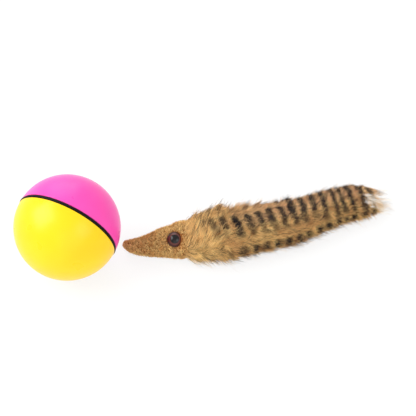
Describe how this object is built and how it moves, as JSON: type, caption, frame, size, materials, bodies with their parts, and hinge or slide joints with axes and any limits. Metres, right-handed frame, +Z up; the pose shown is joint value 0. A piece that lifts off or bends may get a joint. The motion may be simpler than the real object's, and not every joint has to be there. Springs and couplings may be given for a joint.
{
  "type": "electric ball cat toy",
  "caption": "Self-rolling ball of a pink and a yellow half, with a geared drive unit and a battery inside, and a furry striped plush animal with glossy eyes",
  "frame": {"origin": "the middle of the toy's box in plan, on the floor that the ball and the animal stand on", "axes": "+X from the ball towards the animal's tail end, +Z up, +Y away from the picture's camera"},
  "size_m": [0.296, 0.1138, 0.084],
  "materials": {
    "pink_plastic": "smooth moulded plastic with a soft gloss",
    "yellow_plastic": "smooth moulded plastic with a soft gloss",
    "black_rubber": "smooth black rubber",
    "white_plastic": "plain moulded plastic",
    "black_plastic": "plain moulded plastic",
    "red_plastic": "wire insulation",
    "steel": "plain steel",
    "brass": "turned brass",
    "battery_can": "plain wrapped steel can",
    "short_plush": "short golden-brown pile",
    "striped_fur": "long tan pile with dark bars",
    "amber_eye": "polished amber plastic",
    "black_gloss": "polished black plastic"
  },
  "bodies": {
    "pink_half": {"pink_shell": "pink_plastic", "pink_hub": "white_plastic", "drive_axle": "steel", "final_gear": "white_plastic", "hub_screw_1": "steel", "hub_screw_2": "steel", "hub_screw_3": "steel"},
    "yellow_half": {"yellow_shell": "yellow_plastic", "seam_ring": "black_rubber"},
    "drive_unit": {"drive_frame": "white_plastic", "gearbox_cover": "white_plastic", "cover_screw_1": "steel", "cover_screw_2": "steel", "cover_screw_3": "steel", "gear_1_pin": "steel", "gear_2_pin": "steel", "motor_can": "steel", "motor_end_cap": "white_plastic", "motor_magnet_1": "black_plastic", "motor_magnet_2": "black_plastic", "battery": "battery_can", "contact_plate": "steel", "contact_spring": "steel", "switch_body": "black_plastic", "red_wire": "red_plastic", "black_wire": "black_plastic", "switch_wire": "red_plastic"},
    "first_gear": {"gear_1": "white_plastic"},
    "second_gear": {"gear_2": "white_plastic"},
    "motor_rotor": {"motor_shaft": "steel", "motor_armature": "steel", "motor_pinion": "brass"},
    "door": {"battery_door": "white_plastic"},
    "knob": {"switch_knob": "black_plastic"},
    "head": {"animal_head": "short_plush", "near_eye_lens": "amber_eye", "near_eye_pupil": "black_gloss", "near_eye_washer": "white_plastic", "far_eye_lens": "amber_eye", "far_eye_pupil": "black_gloss", "far_eye_washer": "white_plastic"},
    "body": {"animal_body": "striped_fur"},
    "tail": {"animal_tail": "striped_fur"}
  },
  "joints": [
    {"name": "shell_twist", "type": "hinge", "parent": "pink_half", "child": "yellow_half", "pos_m": [-0.10617, -0.01492, 0.042], "axis": [0.4056, 0.8859, 0.225], "range_deg": [0, 40]},
    {"name": "drive_spin", "type": "hinge", "parent": "pink_half", "child": "drive_unit", "pos_m": [-0.10617, -0.01492, 0.042], "axis": [0.4056, 0.8859, 0.225], "continuous": true},
    {"name": "gear_2_turn", "type": "hinge", "parent": "drive_unit", "child": "second_gear", "pos_m": [-0.10301, -0.00622, 0.05539], "axis": [0.4056, 0.8859, 0.225], "continuous": true},
    {"name": "gear_1_turn", "type": "hinge", "parent": "drive_unit", "child": "first_gear", "pos_m": [-0.11196, -0.00089, 0.05052], "axis": [0.4056, 0.8859, 0.225], "continuous": true},
    {"name": "rotor_turn", "type": "hinge", "parent": "drive_unit", "child": "motor_rotor", "pos_m": [-0.10158, -0.0049, 0.04762], "axis": [0.4056, 0.8859, 0.225], "continuous": true},
    {"name": "battery_door_lift", "type": "slide", "parent": "drive_unit", "child": "door", "axis": [0.0936, 0.2045, -0.9744], "range_m": [0, 0.004]},
    {"name": "switch_slide", "type": "slide", "parent": "drive_unit", "child": "knob", "axis": [-0.9092, 0.4163, 0], "range_m": [0, 0.0025]},
    {"name": "animal_pull", "type": "slide", "parent": "pink_half", "child": "head", "axis": [1, 0, 0], "range_m": [0, 0.06]},
    {"name": "neck_bend", "type": "hinge", "parent": "head", "child": "body", "pos_m": [-0.00675, -0.00345, 0.0155], "axis": [0, 0, 1], "range_deg": [-20, 20]},
    {"name": "tail_bend", "type": "hinge", "parent": "body", "child": "tail", "pos_m": [0.07663, 0.01599, 0.0152], "axis": [0, 0, 1], "range_deg": [-20, 20]}
  ],
  "couplings": [
    {"joint": "gear_2_turn", "follows": "drive_spin", "ratio": 2.6667},
    {"joint": "gear_1_turn", "follows": "drive_spin", "ratio": -9.6},
    {"joint": "rotor_turn", "follows": "drive_spin", "ratio": 34.56}
  ]
}
